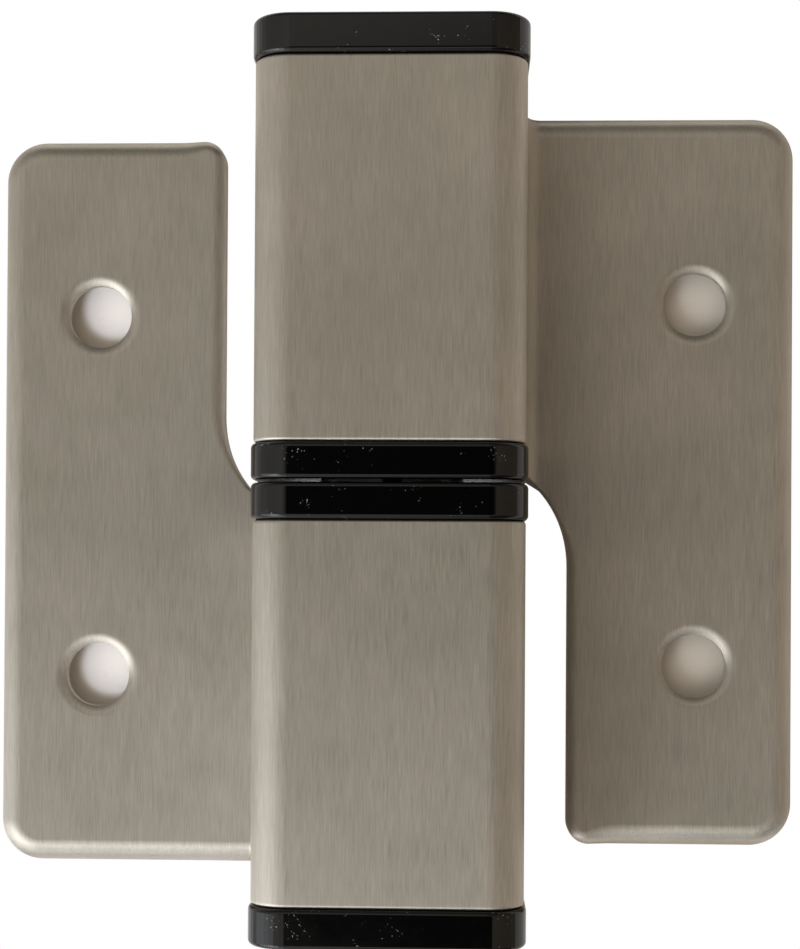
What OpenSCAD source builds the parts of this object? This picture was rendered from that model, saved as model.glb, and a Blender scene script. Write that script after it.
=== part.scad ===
// Pivot hinge for a cubicle or partition door.
// Two leaves of folded stainless sheet each wrap round into one half of a square barrel. Nylon cores
// fill the barrel and carry the pin, and helical cams between them lift the door as it opens, so that
// its own weight closes it again.
// Frame: Z is the pivot axis, up. X runs across the hinge, with the door leaf at +X. Y points to the
// back, where the leaves lie against the door and the frame. The origin is on the pivot axis, at the
// split between the two collars. The hinge is drawn closed.

/* [Barrel] */
// Width of the steel barrel, across the hinge
barrel_w = 28; // [26:0.5:30]
// Depth of the steel barrel, front to back
barrel_d = 21.6; // [20.8:0.2:24]
// Outside radius of the barrel's corners
corner_r = 3.8; // [3:0.1:4.6]
// Length of steel in each half of the barrel
barrel_l = 39.3; // [39:0.1:44]
// Thickness of the steel sheet
sheet_t = 1.5; // [1.2:0.1:1.7]

/* [Leaf] */
// From the pivot axis to a leaf's outer edge
leaf_reach = 44.1; // [42:0.1:48]
// From the split to the end of a leaf on its own barrel's side
leaf_up = 41.6; // [39:0.1:42.5]
// From the split to the end of a leaf beside the other barrel
leaf_down = 39.2; // [37:0.1:42]
// From the pivot axis to the free inner edge, beside the other barrel
leaf_clear = 19.2; // [18.4:0.1:21]
// Depth of a leaf, from its face to the back of its turned edge
leaf_depth = 3; // [2.6:0.1:3.4]
// Outside radius of the turned edge
edge_r = 2.4; // [2:0.1:2.5]
// Radius of a leaf's outer corners, seen from the front
leaf_corner_r = 4.6; // [3.5:0.1:7]
// Radius of a leaf's inner corner beside the other barrel
inner_corner_r = 2.6; // [2.5:0.1:4]
// Inside radius of the bend between the barrel and the leaf
bend_r = 2; // [1.5:0.1:2.4]
// Radius of the hollow curve from the bend down to the free inner edge
notch_r = 12.7; // [12:0.1:14]

/* [Screw holes] */
// Diameter of the screw holes
hole_d = 7; // [5:0.1:8]
// Radius of the rounded front rim of a screw hole
hole_rim_r = 0.8; // [0.4:0.1:0.9]
// Distance of the screw holes from the pivot axis
hole_x = 33.1; // [31:0.1:34]
// Distance between a leaf's two screw holes
hole_pitch = 40; // [36:0.5:46]
// How far the pair of holes sits toward its own barrel's end
hole_shift = 0.7; // [0:0.1:1.5]

/* [Nylon] */
// Height of a core's collar
collar_h = 3.75; // [3:0.05:4.5]
// Height of an end cap's visible rim
cap_h = 4.1; // [3.5:0.1:5]
// How far the collars and caps stand proud of the steel
overhang = 0.25; // [0.1:0.05:0.4]
// Rounding of the edges of the collars and caps
rim_edge_r = 0.5; // [0.3:0.05:0.7]
// Length of a core, inside and outside the barrel
core_l = 24.85; // [22:0.05:26]
// Length of an end cap's plug
plug_l = 8; // [6:0.1:8.5]
// Wall of an end cap's plug
plug_wall = 2.2; // [1.6:0.1:2.4]

/* [Pin and cams] */
// Diameter of the pivot pin
pin_d = 8; // [7:0.1:9]
// Radial clearance of the pin in its bores
pin_play = 0.05; // [0.03:0.01:0.08]
// Outside radius of the cams
cam_r = 7.6; // [7:0.1:7.8]
// How far the door rises in a quarter turn
quarter_rise = 4; // [3:0.1:4.5]
// How far the door opens, in degrees
max_swing = 110; // [90:1:120]

/* [Hidden] */
$fn = 96;

steel = "#A39E94";
polished_steel = "#B9B6B0";
nylon = "#17181A";

past = 1;                                   // how far a cut runs past the surface that it opens
split_gap = 0.3;                            // open line between the two collars
fit_gap = 0.05;                             // play of the nylon in the steel barrel

leaf_back = barrel_d / 2;                   // plane in which the leaves and the barrel end
leaf_front = leaf_back - leaf_depth;
cavity_w = barrel_w - 2 * sheet_t;
cavity_d = barrel_d - 2 * sheet_t;
cavity_r = corner_r - sheet_t;
steel_start = split_gap / 2 + collar_h;
steel_end = steel_start + barrel_l;
core_end = split_gap / 2 + core_l;

bend_x = barrel_w / 2 + bend_r;             // where the bend has turned into the flat leaf
bend_y = leaf_front - bend_r;               // where the bend leaves the barrel's side
seam_x = cavity_w / 2 - 0.1;                // end of the wrapped sheet, at the back
notch_x = leaf_clear - notch_r;             // the notch ends below level with the free edge
notch_z = -sqrt(pow(notch_r, 2) - pow(bend_x - notch_x, 2));
collar_side = barrel_w / 2 + overhang + 0.1;  // the sheet stays outside this beside the collar
far = 60;                                   // longer than any part of the hinge

cam_start = 1;                              // height of the lower cam's lowest point
cam_root = 3;                               // how deep the lower cam goes into its core
cam_gap = 0.25;                             // play over the lower cam
cam_side_gap = 0.3;                         // play round the lower cam
cam_lag = 1.5;                              // play between the cams' steps, in degrees
cam_facet = 5;                              // angle of one facet of a cam, in degrees
cam_inner_r = 2;                            // inside the pin's bore
lobe_rise = 2 * quarter_rise;               // each of a cam's two ramps covers half a turn
lift = quarter_rise * max_swing / 90;

washer_t = 1.2;
washer_d = 16;
washer_play = 0.2;
ring_t = 0.9;
ring_d = 13;
ring_relief_r = 4.9;                        // between its teeth a ring stands clear of the pin
ring_mouth = 6.6;                           // open side of a ring
ring_tooth_w = 2;
ring_teeth = [90, -25, 205];
groove_r = pin_d / 2 - 0.6;
groove_play = 0.1;
pin_end = 2.2;                              // length of the pin past each ring
pin_chamfer = 0.6;
lift_spare = 1;                             // what is left under the lower core at full swing
upper_ring_z = core_end + washer_t;
lower_ring_z = -(core_end + lift + lift_spare + ring_t);

// A rectangle with round corners, about the origin
module round_rect(w, d, r) {
    square([w - 2 * r, d], center = true);
    square([w, d - 2 * r], center = true);
    for (sx = [-1, 1], sy = [-1, 1])
        translate([sx * (w / 2 - r), sy * (d / 2 - r)]) circle(r);
}

// Section of the given width and height with four round corners. It stands on y = 0.
module soft_section(w, h, r) {
    translate([-w / 2, r]) square([w, h - 2 * r]);
    translate([r - w / 2, 0]) square([w - 2 * r, h]);
    for (side = [-1, 1], y = [r, h - r])
        translate([side * (w / 2 - r), y]) circle(r);
}

// The collars' and caps' rim: a block with round corners and round edges, standing on z = 0
module rim(h) {
    w = barrel_w + 2 * overhang;
    d = barrel_d + 2 * overhang;
    r = corner_r + overhang;
    translate([r - w / 2, 0, 0]) rotate([90, 0, 90])
        linear_extrude(w - 2 * r) soft_section(d, h, rim_edge_r);
    translate([0, d / 2 - r, 0]) rotate([90, 0, 0])
        linear_extrude(d - 2 * r) soft_section(w, h, rim_edge_r);
    for (side = [-1, 1], end = [-1, 1])
        translate([side * (w / 2 - r), end * (d / 2 - r), 0]) rotate_extrude()
            intersection() {
                soft_section(2 * r, h, rim_edge_r);
                square([r, h]);
            }
}

// Section of a plate of the given width with two round front edges. The front is at y = 0.
module plate_section(w, depth, r) {
    translate([0, r]) square([w, depth - r]);
    translate([r, 0]) square([w - 2 * r, depth]);
    intersection() {
        for (x = [r, w - r]) translate([x, r]) circle(r);
        square([w, r]);
    }
}

// A round plate with a round front edge. The front is at y = 0.
module round_plate(plan_r, depth, r) {
    rotate([-90, 0, 0]) rotate_extrude()
        intersection() {
            translate([-plan_r, 0]) plate_section(2 * plan_r, depth, r);
            square([plan_r, depth]);
        }
}

// A plate with round corners and round front edges. The front is at y = 0.
module soft_plate(x0, x1, z0, z1, plan_r, depth, r) {
    translate([x1 - plan_r, 0, z0]) rotate([0, -90, 0])
        linear_extrude(x1 - x0 - 2 * plan_r) plate_section(z1 - z0, depth, r);
    translate([x0, 0, z0 + plan_r])
        linear_extrude(z1 - z0 - 2 * plan_r) plate_section(x1 - x0, depth, r);
    for (x = [x0 + plan_r, x1 - plan_r], z = [z0 + plan_r, z1 - plan_r])
        translate([x, 0, z]) round_plate(plan_r, depth, r);
}

// A round hole along Y through a plate with its front at y = 0, with a round front rim
module soft_hole(r, rim_r) {
    rotate([-90, 0, 0]) {
        translate([0, 0, -past]) cylinder(leaf_depth + 2 * past, r = r);
        rotate_extrude() difference() {
            translate([0, -past]) square([r + rim_r, past + rim_r]);
            translate([r + rim_r, rim_r]) circle(rim_r);
        }
    }
}

// A leaf's outline as a solid, drawn in by inset all round. The front is at y = 0.
module leaf_blank(inset, depth) {
    z_end = -leaf_down + inset;
    x_end = leaf_reach - inset;
    x_free = leaf_clear + inset;
    plan_r = leaf_corner_r - inset;
    r = edge_r - inset;
    difference() {
        intersection() {
            soft_plate(0, x_end, notch_z - 2 * leaf_corner_r, leaf_up - inset, plan_r, depth, r);
            translate([bend_x, -past, notch_z]) cube(far);
        }
        translate([notch_x, 0, notch_z]) soft_hole(notch_r + inset, r);
    }
    intersection() {
        union() {
            soft_plate(x_free, hole_x, z_end, 0, inner_corner_r - inset, depth, r);
            soft_plate(hole_x - 2 * plan_r, x_end, z_end, 0, plan_r, depth, r);
        }
        translate([0, -past, notch_z - far]) cube(far);
    }
}

// The flat of a leaf with its edges turned back, and its two screw holes
module leaf_tray() {
    translate([0, leaf_front, 0]) difference() {
        leaf_blank(0, leaf_depth);
        translate([0, sheet_t, 0]) leaf_blank(sheet_t, leaf_depth);
        for (side = [-1, 1])
            translate([hole_x, 0, hole_shift + side * hole_pitch / 2])
                soft_hole(hole_d / 2, hole_rim_r);
    }
}

// Section of the sheet where it wraps round the core, open at the seam
module wrap_section() {
    difference() {
        round_rect(barrel_w, barrel_d, corner_r);
        round_rect(cavity_w, cavity_d, cavity_r);
        translate([seam_x, bend_y]) square(barrel_w);
    }
}

// Section of the hollow bend from the barrel's side to the leaf, lapping a little into both
module bend_section() {
    lap = 0.5;
    translate([bend_x, bend_y]) difference() {
        intersection() {
            circle(bend_r + sheet_t);
            translate([-2 * barrel_w, 0]) square(2 * barrel_w);
        }
        circle(bend_r);
    }
    translate([cavity_w / 2, bend_y - lap]) square([sheet_t, lap]);
    translate([bend_x, leaf_front]) square([lap, sheet_t]);
}

// One folded sheet: the barrel, the bend and the leaf
module folded_sheet() {
    translate([0, 0, steel_start]) linear_extrude(barrel_l) wrap_section();
    difference() {
        translate([0, 0, -past]) linear_extrude(past + leaf_up) bend_section();
        translate([-far, -far, -past]) cube([far + collar_side, 2 * far, past + steel_start]);
        translate([notch_x, leaf_back + past, notch_z]) rotate([90, 0, 0])
            cylinder(barrel_d, r = notch_r);
    }
    leaf_tray();
}

// Block that fills the barrel, with the collar that shows. It starts at the collar's face, z = 0.
module core_blank() {
    rim(collar_h);
    linear_extrude(core_l)
        round_rect(cavity_w - 2 * fit_gap, cavity_d - 2 * fit_gap, cavity_r - fit_gap);
}

// Half a turn of a cam: a ramp round the axis, from low to low + lobe_rise, above a flat foot
module cam_lobe(r, foot, low) {
    steps = 180 / cam_facet;
    points = [for (i = [0:steps]) each [
        for (corner = [[cam_inner_r, foot], [r, foot],
                       [r, low + lobe_rise * i / steps],
                       [cam_inner_r, low + lobe_rise * i / steps]])
            [corner[0] * cos(i * cam_facet), corner[0] * sin(i * cam_facet), corner[1]]]];
    sides = [for (i = [0:steps - 1], k = [0:3])
        let (a = 4 * i + k, b = 4 * i + (k + 1) % 4)
        each [[a, b, a + 4], [b, b + 4, a + 4]]];
    polyhedron(points, concat(sides, [[3, 2, 1, 0]], [[for (k = [0:3]) 4 * steps + k]]));
}

// Both ramps of a cam. They climb clockwise from above, the way the door opens.
module cam(r, foot, low) {
    mirror([0, 1, 0]) for (half = [0, 180]) rotate(half) cam_lobe(r, foot, low);
}

// Bore for the pin, through a core and both cams
module pin_bore() {
    cylinder(2 * far, r = pin_d / 2 + pin_play, center = true);
}

// A flat ring that snaps sideways into a groove of the pin
module retaining_ring() {
    linear_extrude(ring_t) difference() {
        union() {
            difference() {
                circle(ring_d / 2);
                circle(ring_relief_r);
                translate([-ring_mouth / 2, -ring_d]) square([ring_mouth, ring_d]);
            }
            for (angle = ring_teeth)
                rotate(angle) translate([groove_r / 2, -ring_tooth_w / 2])
                    square([ring_relief_r - groove_r / 2 + 0.4, ring_tooth_w]);
        }
        circle(groove_r);
    }
}

module door_leaf() {
    color(steel) folded_sheet();
}

module frame_leaf() {
    color(steel) rotate([0, 180, 0]) folded_sheet();
}

module door_core() {
    color(nylon) difference() {
        translate([0, 0, split_gap / 2]) core_blank();
        rotate(-cam_lag) cam(cam_r + cam_side_gap, -past, cam_start + cam_gap);
        pin_bore();
    }
}

module frame_core() {
    color(nylon) difference() {
        union() {
            translate([0, 0, -split_gap / 2]) rotate([180, 0, 0]) core_blank();
            cam(cam_r, -cam_root, cam_start);
        }
        pin_bore();
    }
}

// Rim and hollow plug that close an end of the barrel. The steel ends at z = 0.
module end_cap() {
    plug_w = cavity_w - 2 * fit_gap;
    plug_d = cavity_d - 2 * fit_gap;
    plug_r = cavity_r - fit_gap;
    color(nylon) {
        rim(cap_h);
        translate([0, 0, -plug_l]) linear_extrude(plug_l) difference() {
            round_rect(plug_w, plug_d, plug_r);
            square([plug_w - 2 * plug_wall, plug_d - 2 * plug_wall], center = true);
        }
    }
}

module top_cap() {
    translate([0, 0, steel_end]) end_cap();
}

module bottom_cap() {
    translate([0, 0, -steel_end]) rotate([180, 0, 0]) end_cap();
}

module pivot_pin() {
    r = pin_d / 2;
    low = lower_ring_z - pin_end;
    high = upper_ring_z + ring_t + pin_end;
    low_groove = lower_ring_z + ring_t + groove_play;
    high_groove = upper_ring_z - groove_play;
    color(polished_steel) rotate_extrude() polygon([
        [0, low], [r - pin_chamfer, low], [r, low + pin_chamfer],
        [r, lower_ring_z], [groove_r, lower_ring_z], [groove_r, low_groove], [r, low_groove],
        [r, high_groove], [groove_r, high_groove],
        [groove_r, upper_ring_z + ring_t], [r, upper_ring_z + ring_t],
        [r, high - pin_chamfer], [r - pin_chamfer, high], [0, high]]);
}

module pin_washer() {
    color(polished_steel) translate([0, 0, core_end]) linear_extrude(washer_t) difference() {
        circle(washer_d / 2);
        circle(pin_d / 2 + washer_play);
    }
}

module upper_retaining_ring() {
    color(polished_steel) translate([0, 0, upper_ring_z]) retaining_ring();
}

module lower_retaining_ring() {
    color(polished_steel) translate([0, 0, lower_ring_z]) retaining_ring();
}

door_leaf();
frame_leaf();
door_core();
frame_core();
top_cap();
bottom_cap();
pivot_pin();
pin_washer();
upper_retaining_ring();
lower_retaining_ring();
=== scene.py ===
"""Looks of a lift-and-swing pivot hinge: folded brushed steel leaves on black nylon cores.

Lengths in this script are millimetres, and MM turns them into metres. Z is the pivot axis, up,
X runs across the hinge and Y points to its back. The door half is above, the frame half below.
"""

import math

import bmesh
import bpy
from mathutils import Matrix, Vector


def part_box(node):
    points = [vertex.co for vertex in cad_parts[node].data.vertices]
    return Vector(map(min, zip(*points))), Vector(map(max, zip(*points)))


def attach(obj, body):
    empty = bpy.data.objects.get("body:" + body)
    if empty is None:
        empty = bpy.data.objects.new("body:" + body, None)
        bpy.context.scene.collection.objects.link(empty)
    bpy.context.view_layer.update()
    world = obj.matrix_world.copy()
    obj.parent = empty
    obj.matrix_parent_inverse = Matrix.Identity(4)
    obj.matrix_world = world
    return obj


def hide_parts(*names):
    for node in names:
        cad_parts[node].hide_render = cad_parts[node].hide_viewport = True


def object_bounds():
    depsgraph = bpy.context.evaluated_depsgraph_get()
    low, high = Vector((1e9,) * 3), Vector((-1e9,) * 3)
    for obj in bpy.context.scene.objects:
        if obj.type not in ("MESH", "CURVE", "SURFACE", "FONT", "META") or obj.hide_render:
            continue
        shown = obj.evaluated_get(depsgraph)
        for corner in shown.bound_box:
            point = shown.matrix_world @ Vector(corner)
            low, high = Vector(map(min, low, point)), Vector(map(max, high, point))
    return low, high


MM = 0.001

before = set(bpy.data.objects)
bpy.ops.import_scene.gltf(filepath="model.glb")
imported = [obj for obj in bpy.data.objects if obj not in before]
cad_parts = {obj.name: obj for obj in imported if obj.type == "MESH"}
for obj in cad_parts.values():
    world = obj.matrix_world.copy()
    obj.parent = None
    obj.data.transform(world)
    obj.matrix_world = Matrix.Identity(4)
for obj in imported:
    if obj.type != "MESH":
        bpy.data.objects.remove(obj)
cad_box = [list(corner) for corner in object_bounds()]
scene = bpy.context.scene
scene.view_settings.view_transform = "Standard"


def mm_box(node):
    """Lowest and highest corner of a CAD node, in millimetres."""
    low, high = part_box(node)
    return Vector(low) / MM, Vector(high) / MM


# ---------------------------------------------------------------- sizes, from the CAD frame

LEAF_LOW, LEAF_HIGH = mm_box("door_leaf")
CAP_LOW, CAP_HIGH = mm_box("top_cap")
BODY_HIGH = Vector(cad_box[1]) / MM

BARREL_W = -2 * LEAF_LOW.x
BARREL_D = 2 * LEAF_HIGH.y
STEEL_START = 3.9                # where the steel begins, past the collar, above the split
STEEL_END = LEAF_HIGH.z
BARREL_R = 3.8                   # outside radius of the barrel's corners
SHEET = 1.5                      # thickness of the steel
SEAM_X = BARREL_W / 2 - SHEET - 0.1      # end of the wrapped sheet, in the back corner
LEAF_REACH = LEAF_HIGH.x
LEAF_UP = 41.6                   # from the split to a leaf's end on its own barrel's side
LEAF_DOWN = -LEAF_LOW.z          # from the split to its end beside the other barrel
LEAF_CLEAR = 19.2                # from the pivot axis to the free inner edge
LEAF_DEPTH = 3.0                 # face of the leaf to the back of its turned edge
LEAF_BACK = LEAF_HIGH.y
LEAF_FRONT = LEAF_BACK - LEAF_DEPTH
EDGE_R = 2.4                     # outside radius of the turned edge
CORNER_R = 4.6                   # outer corners, seen from the front
INNER_CORNER_R = 2.6
BEND_R = 2.0                     # inside radius of the bend from the barrel to the leaf
NOTCH_R = 12.7                   # hollow curve from the bend to the free edge
HOLE_R = 3.5
HOLE_RIM_W = 1.2                 # width of the soft rim
HOLE_RIM_TILT = math.radians(38)         # slope of the rim where it meets the hole
HOLE_X = 33.1
HOLE_PITCH = 40.0                # between a leaf's two screw holes
HOLE_SHIFT = 0.7                 # how far the pair sits toward its own barrel's end
OVERHANG = 0.25                  # how far the nylon stands proud of the steel

BEND_X = BARREL_W / 2 + BEND_R
BEND_Y = LEAF_FRONT - BEND_R
NOTCH_X = LEAF_CLEAR - NOTCH_R
NOTCH_Z = -math.sqrt(NOTCH_R ** 2 - (BEND_X - NOTCH_X) ** 2)
SLIT_X = BARREL_W / 2 + OVERHANG + 0.1   # beside the collar the sheet keeps clear of it


# ---------------------------------------------------------------- camera

CAMERA_PLACE = (7.57, -188.69, -10.58)
CAMERA_TURN = (-2.024, 0.521, 0.34)      # yaw, pitch and roll, in degrees
LENS = 67.24                             # for a sensor 36 mm wide


def place_camera():
    """The camera stands in front of the hinge, a little below its middle, and looks at it."""
    yaw, pitch, roll = (math.radians(angle) for angle in CAMERA_TURN)
    ahead = Vector((math.sin(yaw) * math.cos(pitch), math.cos(yaw) * math.cos(pitch),
                    math.sin(pitch)))
    right = Vector((math.cos(yaw), -math.sin(yaw), 0))
    top = right.cross(ahead)
    right, top = (right * math.cos(roll) + top * math.sin(roll),
                  top * math.cos(roll) - right * math.sin(roll))
    data = bpy.data.cameras.new("camera")
    camera = bpy.data.objects.new("camera", data)
    scene.collection.objects.link(camera)
    turn = Matrix((right, top, -ahead)).transposed().to_4x4()
    camera.matrix_world = Matrix.Translation(Vector(CAMERA_PLACE) * MM) @ turn
    data.sensor_width = 36
    data.lens = LENS
    data.shift_y = 0.1
    data.clip_start = 0.01
    data.clip_end = 20
    scene.camera = camera


place_camera()


# ---------------------------------------------------------------- materials

def linear(hexcode, alpha=1.0):
    """An sRGB colour, written as six hex digits, as linear red, green, blue and alpha."""
    channels = [int(hexcode[i:i + 2], 16) / 255 for i in (0, 2, 4)]
    return [c / 12.92 if c <= 0.04045 else ((c + 0.055) / 1.055) ** 2.4
            for c in channels] + [alpha]


def add_node(tree, kind, inputs=None, stops=None, **settings):
    """Adds a node. An input is a socket to link from, a list of them, or a value. Stops are the
    places and colours of a colour ramp. The other settings are the node's properties."""
    node = tree.nodes.new(kind)
    for name, value in settings.items():
        setattr(node, name, value)
    if stops:
        elements = node.color_ramp.elements
        while len(elements) < len(stops):
            elements.new(0.5)
        for element, (place, colour) in zip(elements, stops):
            element.position = place
            element.color = colour
    for key, value in (inputs or {}).items():
        sources = value if isinstance(value, list) else [value]
        if isinstance(sources[0], bpy.types.NodeSocket):
            for source in sources:
                tree.links.new(source, node.inputs[key])
        else:
            node.inputs[key].default_value = value
    return node


def new_material(name):
    """A material with an empty node tree, and that tree."""
    material = bpy.data.materials.new(name)
    material.use_nodes = True
    material.node_tree.nodes.clear()
    return material, material.node_tree


def grey(value):
    """A grey of a linear value."""
    return [value, value, value, 1.0]


MIX_FACTOR, MIX_A, MIX_B, MIX_RESULT = 0, 6, 7, 2     # a Mix node's sockets for colours


def brushed_stainless(name, tint, shade):
    """Cold-rolled stainless sheet, brushed along the pivot axis with a fine abrasive belt.

    The belt leaves scratches a few hundredths of a millimetre wide. They spread reflections across
    the hinge and show as fine upright streaks, here drawn 0.13 mm wide, as coarse as they need to
    be to show, with fainter broad ones among them. Handling adds a faint cloudiness.
    """
    material, tree = new_material(name)
    place = add_node(tree, "ShaderNodeTexCoord").outputs["Object"]

    def streaks(width, length, seed):
        """Upright streaks of a width and length. The seed sets them off from the others."""
        scale = add_node(tree, "ShaderNodeMapping", {
            "Vector": place,
            "Location": (seed, seed * 0.7, seed * 0.3),
            "Scale": (1 / (width * MM), 1 / (width * MM), 1 / (length * MM))})
        return add_node(tree, "ShaderNodeTexNoise", {
            "Vector": scale.outputs[0], "Scale": 1.0, "Detail": 3.0,
            "Roughness": 0.6}).outputs["Fac"]

    fine = streaks(width=0.13, length=3, seed=3.1)
    broad = streaks(width=0.9, length=9, seed=7.7)
    clouds = add_node(tree, "ShaderNodeTexNoise", {
        "Vector": place, "Scale": 1 / (14 * MM), "Detail": 3.0, "Roughness": 0.55}).outputs["Fac"]
    fine_tone = add_node(tree, "ShaderNodeValToRGB", {"Fac": fine},
                         stops=[(0.3, grey(0.76)), (0.7, grey(1.0))])
    broad_tone = add_node(tree, "ShaderNodeValToRGB", {"Fac": broad},
                          stops=[(0.3, grey(0.93)), (0.7, grey(1.0))])
    cloud_tone = add_node(tree, "ShaderNodeValToRGB", {"Fac": clouds},
                          stops=[(0.35, linear(shade)), (0.65, linear(tint))])
    streaked = add_node(tree, "ShaderNodeMix", {
        MIX_FACTOR: 1.0, MIX_A: cloud_tone.outputs[0], MIX_B: fine_tone.outputs[0]},
        data_type="RGBA", blend_type="MULTIPLY")
    colour = add_node(tree, "ShaderNodeMix", {
        MIX_FACTOR: 1.0, MIX_A: streaked.outputs[MIX_RESULT], MIX_B: broad_tone.outputs[0]},
        data_type="RGBA", blend_type="MULTIPLY")
    gloss = add_node(tree, "ShaderNodeMapRange", {
        "Value": fine, "From Min": 0.3, "From Max": 0.7, "To Min": 0.41, "To Max": 0.5})
    bump = add_node(tree, "ShaderNodeBump", {
        "Height": fine, "Strength": 0.12, "Distance": 0.02 * MM})
    # Across the brushing is level and along the face. A touch of X keeps it from vanishing where
    # the face looks straight up or down.
    facing = add_node(tree, "ShaderNodeNewGeometry").outputs["Normal"]
    level = add_node(tree, "ShaderNodeVectorMath", {
        0: facing, 1: (0.0, 0.0, 1.0)}, operation="CROSS_PRODUCT")
    across_brush = add_node(tree, "ShaderNodeVectorMath", {
        0: level.outputs[0], 1: (-0.01, 0.0, 0.0)}, operation="ADD")
    shader = add_node(tree, "ShaderNodeBsdfPrincipled", {
        "Base Color": colour.outputs[MIX_RESULT], "Metallic": 1.0, "Roughness": gloss.outputs[0],
        "Anisotropic": 0.75, "Anisotropic Rotation": 0.0,
        "Normal": bump.outputs[0], "Tangent": across_brush.outputs[0]})
    add_node(tree, "ShaderNodeOutputMaterial", {"Surface": shader.outputs[0]})
    return material


def moulded_nylon(name):
    """Injection-moulded black nylon: near black, with a shiny skin that is faintly uneven, and
    specks of pale dust where it lies in patches."""
    material, tree = new_material(name)
    place = add_node(tree, "ShaderNodeTexCoord").outputs["Object"]
    skin = add_node(tree, "ShaderNodeTexNoise", {
        "Vector": place, "Scale": 1 / (2.5 * MM), "Detail": 4.0, "Roughness": 0.6}).outputs["Fac"]
    specks = add_node(tree, "ShaderNodeTexNoise", {
        "Vector": place, "Scale": 1 / (0.2 * MM), "Detail": 1.0, "Roughness": 0.5}).outputs["Fac"]
    patches = add_node(tree, "ShaderNodeMapRange", {
        "Value": skin, "From Min": 0.4, "From Max": 0.65, "To Min": 0.75, "To Max": 1.12})
    dust = add_node(tree, "ShaderNodeMath", {
        0: specks, 1: patches.outputs[0]}, operation="MULTIPLY").outputs[0]
    colour = add_node(tree, "ShaderNodeValToRGB", {"Fac": dust}, stops=[
        (0.0, linear("020203")), (0.74, linear("030304")), (0.79, linear("909094"))])
    gloss = add_node(tree, "ShaderNodeMapRange", {
        "Value": skin, "From Min": 0.3, "From Max": 0.7, "To Min": 0.09, "To Max": 0.14})
    bump = add_node(tree, "ShaderNodeBump", {
        "Height": skin, "Strength": 0.06, "Distance": 0.03 * MM})
    shader = add_node(tree, "ShaderNodeBsdfPrincipled", {
        "Base Color": colour.outputs[0], "Roughness": gloss.outputs[0], "IOR": 1.46,
        "Normal": bump.outputs[0]})
    add_node(tree, "ShaderNodeOutputMaterial", {"Surface": shader.outputs[0]})
    return material


def turned_steel(name):
    """Bright turned steel of the pin, its washer and rings: fine lathe marks round the axis, drawn
    0.15 mm apart, as coarse as they need to be to show."""
    material, tree = new_material(name)
    place = add_node(tree, "ShaderNodeTexCoord").outputs["Object"]
    marks = add_node(tree, "ShaderNodeMapping", {
        "Vector": place, "Scale": (1 / (6 * MM), 1 / (6 * MM), 1 / (0.15 * MM))})
    lathe = add_node(tree, "ShaderNodeTexNoise", {
        "Vector": marks.outputs[0], "Scale": 1.0, "Detail": 2.0}).outputs["Fac"]
    colour = add_node(tree, "ShaderNodeValToRGB", {"Fac": lathe},
                      stops=[(0.3, linear("A8A5A0")), (0.7, linear("C9C6C0"))])
    gloss = add_node(tree, "ShaderNodeMapRange", {
        "Value": lathe, "From Min": 0.3, "From Max": 0.7, "To Min": 0.22, "To Max": 0.34})
    shader = add_node(tree, "ShaderNodeBsdfPrincipled", {
        "Base Color": colour.outputs[0], "Metallic": 1.0, "Roughness": gloss.outputs[0]})
    add_node(tree, "ShaderNodeOutputMaterial", {"Surface": shader.outputs[0]})
    return material


brushed = brushed_stainless("brushed_stainless_sheet", "D0C8BE", "C5BFB4")
nylon = moulded_nylon("moulded_black_nylon")
turned = turned_steel("turned_pin_steel")


# ---------------------------------------------------------------- the folded leaves

SUPPORT = 0.12                   # flat strip beside a round
BREAK_R = 0.1                    # broken edge at the back of the turned edge
FOLD_R = 0.4                     # hollow corner behind the turned edge
CUT_R = 0.45                     # rounding of the sheet's cut edge
INNER_SHARE = 0.4                # of the full round, along the free inner edge
SLIT_SPARE = 0.02                # nearest that the bend's other points come to the slit
SHARP_ANGLE = 40                 # in degrees, past which an edge is shaded sharp
BEND_STEPS = 12                  # faces round the barrel's corners, the bend and the inner corner
CORNER_STEPS = 14
NOTCH_STEPS = 16
EDGE_STEPS = 10                  # faces round a turned edge
RIM_STEPS = 8                    # faces across a screw hole's soft rim
HOLE_SIDES = 48
LEVELS = 24                      # rows of faces up the barrel
TINY = 1e-6


def arc(cx, cy, radius, start, end, steps):
    """Points and outward directions along an arc, angles in degrees."""
    out = []
    for i in range(steps + 1):
        a = math.radians(start + (end - start) * i / steps)
        out.append((cx + radius * math.cos(a), cy + radius * math.sin(a),
                    math.cos(a), math.sin(a)))
    return out


def line(x0, y0, x1, y1, nx, ny, spacing):
    """Points between two ends, ends left out, with one outward direction. The first and last lie
    close to the ends, so that the flat shades flat beside a round."""
    length = math.hypot(x1 - x0, y1 - y0)
    steps = max(1, math.ceil(length / spacing))
    places = [SUPPORT / length] + [i / steps for i in range(1, steps)] + [1 - SUPPORT / length]
    return [(x0 + (x1 - x0) * t, y0 + (y1 - y0) * t, nx, ny) for t in places]


def inward(points):
    """The same points, facing the other way."""
    return [(x, y, -nx, -ny) for x, y, nx, ny in points]


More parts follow.
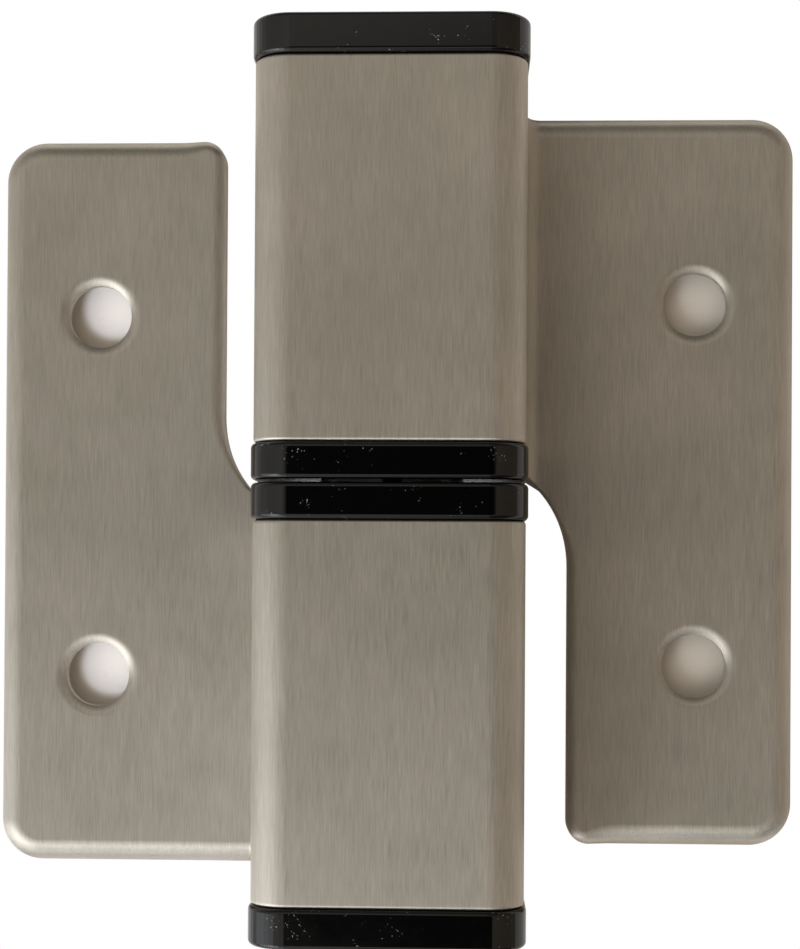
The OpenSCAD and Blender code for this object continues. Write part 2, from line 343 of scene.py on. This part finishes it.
def wrap_path():
    """The outside of the sheet seen from above, from the seam at the back, round the barrel and the
    bend to the leaf."""
    w, d, r = BARREL_W / 2, BARREL_D / 2, BARREL_R
    path = [(SEAM_X, d, 0, 1)] + line(SEAM_X, d, r - w, d, 0, 1, 2)
    path += arc(r - w, d - r, r, 90, 180, BEND_STEPS) + line(-w, d - r, -w, r - d, -1, 0, 2)
    path += arc(r - w, r - d, r, 180, 270, BEND_STEPS) + line(r - w, -d, w - r, -d, 0, -1, 1.5)
    path += arc(w - r, r - d, r, 270, 360, BEND_STEPS) + line(w, r - d, w, BEND_Y, 1, 0, 2)
    bend = inward(arc(BEND_X, BEND_Y, BEND_R, 180, 90, BEND_STEPS))
    turn = math.acos((BEND_X - SLIT_X) / BEND_R)
    slit = (SLIT_X, BEND_Y + BEND_R * math.sin(turn), math.cos(turn), -math.sin(turn))
    before = [p for p in bend if p[0] < SLIT_X - SLIT_SPARE]
    return path + before + [slit, slit] + [p for p in bend if p[0] > SLIT_X + SLIT_SPARE]


def leaf_outline():
    """The leaf's edge seen from the front, from the top of the bend round to the notch."""
    top, low, right, left = LEAF_UP, -LEAF_DOWN, LEAF_REACH, LEAF_CLEAR
    c, i = CORNER_R, INNER_CORNER_R
    path = [(BEND_X, top, 0, 1)] + line(BEND_X, top, right - c, top, 0, 1, 2)
    path += arc(right - c, top - c, c, 90, 0, CORNER_STEPS)
    path += line(right, top - c, right, low + c, 1, 0, 2)
    path += arc(right - c, low + c, c, 0, -90, CORNER_STEPS)
    path += line(right - c, low, left + i, low, 0, -1, 2)
    path += arc(left + i, low + i, i, 270, 180, BEND_STEPS)
    path += line(left, low + i, left, NOTCH_Z, -1, 0, 1.5)[:-1]
    end = math.degrees(math.asin(-NOTCH_Z / NOTCH_R))
    notch = inward(arc(NOTCH_X, NOTCH_Z, NOTCH_R, 0, end, NOTCH_STEPS))
    return path + notch[:-1] + [(BEND_X, 0, 0, -1)]


def smooth_step(value, low, high):
    """0 up to low, 1 from high on, and a soft rise between them."""
    t = min(1.0, max(0.0, (value - low) / (high - low)))
    return t * t * (3 - 2 * t)


def edge_profile(radius, depth):
    """A turned edge in section, from the sheet's back face round to its front: pairs of a distance
    in from the edge and a distance behind the front face."""
    back = [(SHEET + FOLD_R + 0.5, SHEET), (SHEET + FOLD_R, SHEET),
            (SHEET, min(depth, SHEET + FOLD_R)),
            (SHEET, depth), (BREAK_R, depth), (0, depth - BREAK_R)]
    turn = [math.pi / 2 * k / EDGE_STEPS for k in range(EDGE_STEPS + 1)]
    return back + [(radius * (1 - math.cos(a)), radius * (1 - math.sin(a)))
                   for a in turn] + [(radius + SUPPORT, 0)]


def turned_edge(round_share, depth_share):
    """The edge's section where it has a share, from 0 to 1, of its full round and depth."""
    radius = CUT_R + (EDGE_R - CUT_R) * round_share
    depth = SHEET + (LEAF_DEPTH - SHEET) * depth_share
    return edge_profile(radius, max(depth, radius + BREAK_R))


def leaf_profile(x, z):
    """The edge's section at a point of the leaf's outline. The free inner edge is turned tighter
    than the others, and in the notch the turn fades out towards the bend."""
    if z > 1:
        return turned_edge(1.0, 1.0)
    if z > NOTCH_Z and x < LEAF_CLEAR:
        fade = smooth_step(-z, 0, -NOTCH_Z)
        return turned_edge(INNER_SHARE * fade, fade)
    outer = smooth_step(x, LEAF_CLEAR, LEAF_CLEAR + 2 * INNER_CORNER_R)
    return turned_edge(INNER_SHARE + (1 - INNER_SHARE) * outer, 1.0)


class Skin:
    """A closed skin built from rows of points in millimetres."""

    def __init__(self):
        self.mesh = bmesh.new()

    def point(self, x, y, z):
        """A new point of the skin."""
        return self.mesh.verts.new((x * MM, y * MM, z * MM))

    def strip(self, a, b, closed=False):
        """Faces between two rows of the same length."""
        count = len(a)
        for k in range(count if closed else count - 1):
            n = (k + 1) % count
            corners = []
            for vert in (a[k], a[n], b[n], b[k]):
                if vert not in corners:
                    corners.append(vert)
            if len(corners) > 2:
                self.mesh.faces.new(corners)

    def fill(self, loops):
        """A flat face inside the first loop, round the other loops."""
        edges = [self.mesh.edges.get(pair) or self.mesh.edges.new(pair)
                 for loop in loops for pair in zip(loop, loop[1:] + loop[:1])]
        bmesh.ops.triangle_fill(self.mesh, edges=edges, use_beauty=True)

    def finish(self, name, material):
        """The skin as an object, merged, facing outwards and smooth but for its sharp edges."""
        bmesh.ops.remove_doubles(self.mesh, verts=self.mesh.verts, dist=0.002 * MM)
        bmesh.ops.recalc_face_normals(self.mesh, faces=self.mesh.faces)
        data = bpy.data.meshes.new(name)
        self.mesh.to_mesh(data)
        self.mesh.free()
        for face in data.polygons:
            face.use_smooth = True
        data.set_sharp_from_angle(angle=math.radians(SHARP_ANGLE))
        data.materials.append(material)
        piece = bpy.data.objects.new(name, data)
        scene.collection.objects.link(piece)
        return piece


def folded_leaf(name, turn):
    """One leaf as a single folded sheet: barrel wrap, bend, and leaf with turned edges. The frame's
    leaf is the door's, turned half round across the hinge."""
    skin = Skin()

    def point(x, y, z):
        return skin.point(-x, y, -z) if turn else skin.point(x, y, z)

    # Each column of the wrap is a closed loop: low edge, outside, high edge, inside.
    columns = []
    path = wrap_path()
    first_slit = [i for i, p in enumerate(path) if abs(p[0] - SLIT_X) < TINY][0]
    for i, (x, y, nx, ny) in enumerate(path):
        beside_leaf = i > first_slit
        bent = y > BEND_Y - SUPPORT and x > BARREL_W / 2 - TINY
        low = STEEL_START
        if beside_leaf:
            low = NOTCH_Z + math.sqrt(NOTCH_R ** 2 - (x - NOTCH_X) ** 2)
        high = LEAF_UP if bent else STEEL_END
        low_edge = edge_profile(CUT_R, SHEET)
        turn_share = smooth_step(x, BARREL_W / 2, BEND_X)
        high_edge = turned_edge(turn_share, turn_share) if bent else low_edge
        start, end = low + low_edge[-1][0], high - high_edge[-1][0]
        inner_start, inner_end = low + low_edge[0][0], high - high_edge[0][0]
        inside = [(inner_end + (inner_start - inner_end) * k / LEVELS, SHEET)
                  for k in range(1, LEVELS)]
        rows = ([(low + inset, depth) for inset, depth in low_edge]
                + [(start + (end - start) * k / LEVELS, 0) for k in range(1, LEVELS)]
                + [(high - inset, depth) for inset, depth in reversed(high_edge)] + inside)
        columns.append([point(x - nx * depth, y - ny * depth, z) for z, depth in rows])
    for a, b in zip(columns, columns[1:]):
        skin.strip(a, b, closed=True)
    skin.mesh.faces.new(columns[0])

    # The leaf's edge runs from the bend's high end to its low end, and shares their points.
    count = len(edge_profile(CUT_R, SHEET))
    last = columns[-1]
    low_end = last[:count]
    outside = last[count:count + LEVELS - 1]
    high_end = last[count + LEVELS - 1:2 * count + LEVELS - 1][::-1]
    inside = last[2 * count + LEVELS - 1:]
    rows = [high_end]
    for x, z, nx, nz in leaf_outline()[1:-1]:
        rows.append([point(x - nx * inset, LEAF_FRONT + depth, z - nz * inset)
                     for inset, depth in leaf_profile(x, z)])
    rows.append(low_end)
    for a, b in zip(rows, rows[1:]):
        skin.strip(a, b)

    # The screw holes: a soft rim in front and a plain edge behind.
    front_loops, back_loops = [], []
    rim_arc_r = HOLE_RIM_W / math.sin(HOLE_RIM_TILT)
    tilts = [HOLE_RIM_TILT * k / RIM_STEPS for k in range(RIM_STEPS + 1)]
    rim = [(HOLE_RIM_W + SUPPORT, 0)]
    rim += [(HOLE_RIM_W - rim_arc_r * math.sin(a), rim_arc_r * (1 - math.cos(a))) for a in tilts]
    rim += [(0, SHEET)]
    for side in (1, -1):
        middle = HOLE_SHIFT + side * HOLE_PITCH / 2
        rings = []
        for wider, depth in rim:
            rings.append([point(HOLE_X + (HOLE_R + wider) * math.cos(a), LEAF_FRONT + depth,
                                middle + (HOLE_R + wider) * math.sin(a))
                          for a in (2 * math.pi * k / HOLE_SIDES for k in range(HOLE_SIDES))])
        for a, b in zip(rings, rings[1:]):
            skin.strip(a, b, closed=True)
        front_loops.append(rings[0])
        back_loops.append(rings[-1])
    skin.fill([[row[-1] for row in rows] + outside] + front_loops)
    skin.fill([[row[0] for row in rows] + inside[::-1]] + back_loops)
    return skin.finish(name, brushed)


for name, body, node, turn in (("door_leaf_sheet", "door_side", "door_leaf", False),
                               ("frame_leaf_sheet", "frame_side", "frame_leaf", True)):
    leaf = folded_leaf(name, turn)
    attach(leaf, body)
    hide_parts(node)


# ---------------------------------------------------------------- the end caps

RIM_H = CAP_HIGH.z - STEEL_END   # height of the rim that shows past the steel
PLUG_L = STEEL_END - CAP_LOW.z
PLUG_W = BARREL_W - 2 * SHEET - 0.1      # with 0.05 of play on each side
PLUG_D = BARREL_D - 2 * SHEET - 0.1
PLUG_R = 2.25
PLUG_WALL = 2.2
PLUG_ROOT = 0.2                  # how far the plug runs on into the rim
CAP_EDGE_R = 0.5
CAP_EDGE_STEPS = 4
FILLET_POINTS = 12               # round each corner of an outline

CAP_SIZES = {"Rim Width": CAP_HIGH.x - CAP_LOW.x, "Rim Depth": CAP_HIGH.y - CAP_LOW.y,
             "Rim Corner Radius": BARREL_R + OVERHANG, "Rim Height": RIM_H,
             "Plug Width": PLUG_W, "Plug Depth": PLUG_D, "Plug Corner Radius": PLUG_R,
             "Hollow Width": PLUG_W - 2 * PLUG_WALL, "Hollow Depth": PLUG_D - 2 * PLUG_WALL,
             "Hollow Corner Radius": PLUG_R - PLUG_WALL, "Plug Length": PLUG_L}


def cap_tree():
    """Geometry Nodes for an end cap: a rim with rounded corners and a hollow plug under it. The
    rim's underside lies at zero. Returns the tree and its inputs' identifiers by name."""
    tree = bpy.data.node_groups.new("end_cap", "GeometryNodeTree")
    tree.interface.new_socket("Geometry", in_out="OUTPUT", socket_type="NodeSocketGeometry")
    keys = {}
    for name in CAP_SIZES:
        keys[name] = tree.interface.new_socket(
            name, in_out="INPUT", socket_type="NodeSocketFloat").identifier
    sizes = add_node(tree, "NodeGroupInput").outputs

    def outline(part):
        """A rectangle with rounded corners."""
        sharp = add_node(tree, "GeometryNodeCurvePrimitiveQuadrilateral", {
            "Width": sizes[part + " Width"], "Height": sizes[part + " Depth"]}, mode="RECTANGLE")
        return add_node(tree, "GeometryNodeFilletCurve", {
            "Curve": sharp.outputs[0], "Count": FILLET_POINTS,
            "Radius": sizes[part + " Corner Radius"]}, mode="POLY").outputs[0]

    def raised(curves, height, fill):
        """A closed solid of one height over outlines."""
        base = add_node(tree, "GeometryNodeFillCurve", {"Curve": curves}, mode=fill).outputs[0]
        wall = add_node(tree, "GeometryNodeExtrudeMesh", {
            "Mesh": base, "Offset Scale": height, "Individual": False}, mode="FACES").outputs[0]
        under = add_node(tree, "GeometryNodeFlipFaces", {"Mesh": base}).outputs[0]
        both = add_node(tree, "GeometryNodeJoinGeometry", {"Geometry": [wall, under]}).outputs[0]
        return add_node(tree, "GeometryNodeMergeByDistance", {
            "Geometry": both, "Distance": 0.001 * MM}).outputs[0]

    rim = raised(outline("Rim"), sizes["Rim Height"], "NGONS")
    rings = add_node(tree, "GeometryNodeJoinGeometry", {
        "Geometry": [outline("Plug"), outline("Hollow")]}).outputs[0]
    length = add_node(tree, "ShaderNodeMath", {
        0: sizes["Plug Length"], 1: PLUG_ROOT * MM}, operation="ADD").outputs[0]
    plug = raised(rings, length, "TRIANGLES")
    drop = add_node(tree, "ShaderNodeMath", {
        0: sizes["Plug Length"], 1: -1.0}, operation="MULTIPLY").outputs[0]
    offset = add_node(tree, "ShaderNodeCombineXYZ", {"Z": drop}).outputs[0]
    lowered = add_node(tree, "GeometryNodeTransform", {
        "Geometry": plug, "Translation": offset}).outputs[0]
    cap = add_node(tree, "GeometryNodeJoinGeometry", {"Geometry": [rim, lowered]}).outputs[0]
    real = add_node(tree, "GeometryNodeRealizeInstances", {"Geometry": cap}).outputs[0]
    painted = add_node(tree, "GeometryNodeSetMaterial", {
        "Geometry": real, "Material": nylon}).outputs[0]
    add_node(tree, "NodeGroupOutput", {"Geometry": painted})
    return tree, keys


def end_cap(name, tree, keys, turn):
    """An end cap at its place. The bottom one is the top one, turned half round."""
    shell = bpy.data.objects.new(name + "_tree", bpy.data.meshes.new(name + "_tree"))
    scene.collection.objects.link(shell)
    shape = shell.modifiers.new("shape", "NODES")
    shape.node_group = tree
    for size, value in CAP_SIZES.items():
        shape[keys[size]] = value * MM
    edges = shell.modifiers.new("edges", "BEVEL")
    edges.width = CAP_EDGE_R * MM
    edges.segments = CAP_EDGE_STEPS
    edges.limit_method = "ANGLE"
    edges.angle_limit = math.radians(50)
    edges.harden_normals = True
    bpy.context.view_layer.update()
    solid = shell.evaluated_get(bpy.context.evaluated_depsgraph_get())
    data = bpy.data.meshes.new_from_object(solid)
    bpy.data.objects.remove(shell)
    data.name = name
    data.transform(Matrix.Translation((0, 0, STEEL_END * MM)))
    if turn:
        data.transform(Matrix.Rotation(math.pi, 4, "Y"))
    piece = bpy.data.objects.new(name, data)
    scene.collection.objects.link(piece)
    return piece


tree, keys = cap_tree()
for name, body, node, turn in (("top_end_cap", "door_side", "top_cap", False),
                               ("bottom_end_cap", "frame_side", "bottom_cap", True)):
    cap = end_cap(name, tree, keys, turn)
    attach(cap, body)
    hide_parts(node)

for node, material in (("door_core", nylon), ("frame_core", nylon), ("pivot_pin", turned),
                       ("pin_washer", turned), ("upper_retaining_ring", turned),
                       ("lower_retaining_ring", turned)):
    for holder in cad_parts[node].material_slots:
        holder.material = material


# ---------------------------------------------------------------- paper and light

PAPER_Y = BODY_HIGH.y + 0.05
PAPER_REACH = 1500               # from the middle of the paper to its edges
SPOT_R = 8                       # round each screw hole, where the eye sees paper
CONTACT = 8                      # reach of the occlusion round the hinge, which also paints a contact shade into the white
PAINTED_POOL_X, PAINTED_POOL_Z = -30, -48        # middle of a painted pool of window light on the paper
PAINTED_POOL_FULL, PAINTED_POOL_END = 20, 55     # distances from there at which the painted pool is full and at an end


def paper_material(spots):
    """White paper, of which only the spots that show through the screw holes take light and shadow
    as paper does. Elsewhere the eye looks through it at the white room, so that it never hides a
    part that swings behind it. Metal sees it white, with a painted contact shade close to the
    hinge, drawn from ambient occlusion, and a painted pool of window light low on the left."""
    material, tree = new_material("white_paper")
    place = add_node(tree, "ShaderNodeTexCoord").outputs["Object"]
    path = add_node(tree, "ShaderNodeLightPath").outputs
    cover = add_node(tree, "ShaderNodeAmbientOcclusion", {
        "Distance": CONTACT * MM}, samples=8).outputs["AO"]

    # The eye looks through it outside the spots, and wherever nothing lies close over it.
    nearest = None
    for x, z in spots:
        away = add_node(tree, "ShaderNodeVectorMath", {
            0: place, 1: (x * MM, PAPER_Y * MM, z * MM)}, operation="DISTANCE").outputs["Value"]
        nearest = away if nearest is None else add_node(
            tree, "ShaderNodeMath", {0: nearest, 1: away}, operation="MINIMUM").outputs[0]
    outside = add_node(tree, "ShaderNodeMapRange", {
        "Value": nearest, "From Min": 0.8 * SPOT_R * MM, "From Max": SPOT_R * MM}).outputs[0]
    open_air = add_node(tree, "ShaderNodeMapRange", {
        "Value": cover, "From Min": 0.8, "From Max": 0.95}).outputs[0]
    bare = add_node(tree, "ShaderNodeMath", {
        0: outside, 1: open_air}, operation="MAXIMUM").outputs[0]
    seen_through = add_node(tree, "ShaderNodeMath", {
        0: bare, 1: path["Is Camera Ray"]}, operation="MULTIPLY").outputs[0]

    # Metal sees it white, with painted shade: ambient occlusion darkens the white close to the
    # hinge, and a painted pool of window light, low on the left, lifts that shade and dims it
    # further off.
    painted_pool_away = add_node(tree, "ShaderNodeVectorMath", {
        0: place, 1: (PAINTED_POOL_X * MM, PAPER_Y * MM, PAINTED_POOL_Z * MM)},
        operation="DISTANCE").outputs["Value"]
    # Painted pool of window light: it lifts the white near its middle and dims it further away.
    painted_window_pool = add_node(tree, "ShaderNodeMapRange", {
        "Value": painted_pool_away, "From Min": PAINTED_POOL_FULL * MM, "From Max": PAINTED_POOL_END * MM,
        "To Min": 0.25, "To Max": -0.15}).outputs[0]
    # Painted light level: the occlusion's painted contact shade, plus the painted pool of window
    # light.
    painted_light_level = add_node(tree, "ShaderNodeMath", {
        0: cover, 1: painted_window_pool}, operation="ADD").outputs[0]
    whiteness = add_node(tree, "ShaderNodeMapRange", {
        "Value": painted_light_level, "From Min": 0.75, "From Max": 1.0}).outputs[0]
    mirrored = add_node(tree, "ShaderNodeMath", {
        0: path["Is Glossy Ray"], 1: path["Is Transmission Ray"]}, operation="MAXIMUM").outputs[0]
    bright = add_node(tree, "ShaderNodeMath", {
        0: whiteness, 1: mirrored}, operation="MULTIPLY").outputs[0]

    # Under the hinge the paper lets reflections through, so that the back of the steel shows what
    # is behind it and not the dark of a contact. Its own back is never seen.
    first_sight = add_node(tree, "ShaderNodeMath", {
        0: path["Diffuse Depth"], 1: 0.5}, operation="LESS_THAN").outputs[0]
    touching = add_node(tree, "ShaderNodeMapRange", {
        "Value": cover, "From Min": 0.04, "From Max": 0.12,
        "To Min": 1.0, "To Max": 0.0}).outputs[0]
    under = add_node(tree, "ShaderNodeMath", {
        0: touching, 1: first_sight}, operation="MULTIPLY").outputs[0]
    behind = add_node(tree, "ShaderNodeNewGeometry").outputs["Backfacing"]
    open_front = add_node(tree, "ShaderNodeMath", {
        0: seen_through, 1: under}, operation="MAXIMUM").outputs[0]
    gone = add_node(tree, "ShaderNodeMath", {
        0: open_front, 1: behind}, operation="MAXIMUM").outputs[0]

    paper = add_node(tree, "ShaderNodeBsdfDiffuse", {"Color": linear("FAF0E4")})
    white = add_node(tree, "ShaderNodeEmission", {"Color": linear("FFFFFF"), "Strength": 1.0})
    clear = add_node(tree, "ShaderNodeBsdfTransparent")
    shown = add_node(tree, "ShaderNodeMixShader", {
        "Fac": bright, 1: paper.outputs[0], 2: white.outputs[0]})
    surface = add_node(tree, "ShaderNodeMixShader", {
        "Fac": gone, 1: shown.outputs[0], 2: clear.outputs[0]})
    add_node(tree, "ShaderNodeOutputMaterial", {"Surface": surface.outputs[0]})
    return material


def lay_paper():
    """The paper that the hinge lies on with its back. It can only be seen from the front."""
    half = PAPER_REACH
    mesh = bmesh.new()
    mesh.faces.new([mesh.verts.new((x * MM, PAPER_Y * MM, z * MM))
                    for x, z in ((-half, -half), (half, -half), (half, half), (-half, half))])
    data = bpy.data.meshes.new("paper")
    mesh.to_mesh(data)
    mesh.free()
    high, low = HOLE_SHIFT + HOLE_PITCH / 2, HOLE_SHIFT - HOLE_PITCH / 2
    spots = [(HOLE_X, high), (HOLE_X, low), (-HOLE_X, -high), (-HOLE_X, -low)]
    data.materials.append(paper_material(spots))
    paper = bpy.data.objects.new("paper", data)
    scene.collection.objects.link(paper)


def soft_box(name, place, target, width, height, spread, watts, colour):
    """A soft rectangular lamp, with a grid that keeps its beam within a spread in degrees. It shows
    neither to the eye nor in the metal."""
    data = bpy.data.lights.new(name, "AREA")
    data.shape = "RECTANGLE"
    data.size, data.size_y = width * MM, height * MM
    data.spread = math.radians(spread)
    data.energy = watts
    data.color = linear(colour)[:3]
    lamp = bpy.data.objects.new(name, data)
    scene.collection.objects.link(lamp)
    place, target = Vector(place) * MM, Vector(target) * MM
    lamp.matrix_world = (Matrix.Translation(place)
                         @ (place - target).to_track_quat("Z", "Y").to_matrix().to_4x4())
    lamp.visible_camera = False
    lamp.visible_glossy = False


LEFT = (-1.0, 0.0, 0.0)
BEHIND = (0.0, 1.0, 0.0)
# Light across the room, from its right, at 0, to its left, at 1.
WALL_LIGHT = [(0.0, (0.38, 0.32, 0.25, 1)), (0.42, (0.5, 0.44, 0.365, 1)),
              (0.51, (0.93, 0.885, 0.79, 1)), (1.0, (0.66, 0.64, 0.6, 1))]
# Patches of the room: the way to the middle of each, the cosines of the angles from there at which
# it starts and is full, and the light that it adds, or the share of light that it leaves.
LOW_GLOW = ((-0.7, -0.2, -0.68), (0.68, 0.9), (1.6, 1.72, 1.84, 1))
WINDOW_GLOW = ((-0.62, -0.6, -0.5), (0.94, 0.99), (2.8, 2.95, 3.1, 1))
FIGURE = ((0.04, -1.0, 0.0), (0.94, 0.975), 0.02)        # whoever looks at the hinge
CEILING = ((0.0, 0.0, 1.0), (0.25, 0.9), 0.25)
DIM_CORNER = ((0.45, -0.35, -0.82), (0.75, 0.93), 0.2)   # low on the right


def room():
    """Light from the room: pale low on the left, where the window is, and dim and warm on the
    right. The eye sees white, and so does metal that looks at what lies behind the hinge."""
    world = bpy.data.worlds.new("room")
    scene.world = world
    world.use_nodes = True
    tree = world.node_tree
    tree.nodes.clear()
    direction = add_node(tree, "ShaderNodeTexCoord").outputs["Generated"]

    def toward(side, low, high, low_value=0.0, high_value=1.0):
        """How nearly a ray points to one side of the room: one value up to the lower cosine, the
        other from the higher on."""
        cosine = add_node(tree, "ShaderNodeVectorMath", {
            0: direction, 1: side}, operation="DOT_PRODUCT")
        return add_node(tree, "ShaderNodeMapRange", {
            "Value": cosine.outputs["Value"], "From Min": low, "From Max": high,
            "To Min": low_value, "To Max": high_value}).outputs[0]

    tone = add_node(tree, "ShaderNodeValToRGB", {
        "Fac": toward(LEFT, -1.0, 1.0)}, stops=WALL_LIGHT).outputs[0]
    for side, reach, colour in (LOW_GLOW, WINDOW_GLOW):
        glow = add_node(tree, "ShaderNodeValToRGB", {
            "Fac": toward(side, *reach)}, stops=[(0.0, grey(0.0)), (1.0, colour)])
        tone = add_node(tree, "ShaderNodeMix", {
            MIX_FACTOR: 1.0, MIX_A: tone, MIX_B: glow.outputs[0]},
            data_type="RGBA", blend_type="ADD").outputs[MIX_RESULT]
    strength = 1.0
    for side, reach, value in (FIGURE, CEILING, DIM_CORNER):
        strength = add_node(tree, "ShaderNodeMath", {
            0: toward(side, *reach, 1.0, value), 1: strength}, operation="MULTIPLY").outputs[0]
    light = add_node(tree, "ShaderNodeBackground", {"Color": tone, "Strength": strength})
    white = add_node(tree, "ShaderNodeBackground", {"Color": (1, 1, 1, 1), "Strength": 1.0})
    path = add_node(tree, "ShaderNodeLightPath")
    mirrored = add_node(tree, "ShaderNodeMath", {
        0: path.outputs["Is Glossy Ray"], 1: path.outputs["Is Transmission Ray"]},
        operation="MAXIMUM")
    backdrop = add_node(tree, "ShaderNodeMath", {
        0: mirrored.outputs[0], 1: toward(BEHIND, 0.0, 0.05)}, operation="MULTIPLY")
    seen = add_node(tree, "ShaderNodeMath", {
        0: path.outputs["Is Camera Ray"], 1: backdrop.outputs[0]}, operation="MAXIMUM")
    both = add_node(tree, "ShaderNodeMixShader", {
        "Fac": seen.outputs[0], 1: light.outputs[0], 2: white.outputs[0]})
    add_node(tree, "ShaderNodeOutputWorld", {"Surface": both.outputs[0]})


lay_paper()
room()
soft_box("window", place=(-88, -130, -60), target=(-HOLE_X, LEAF_FRONT, 0), width=55, height=55,
         spread=32, watts=0.0085, colour="DCE8FF")
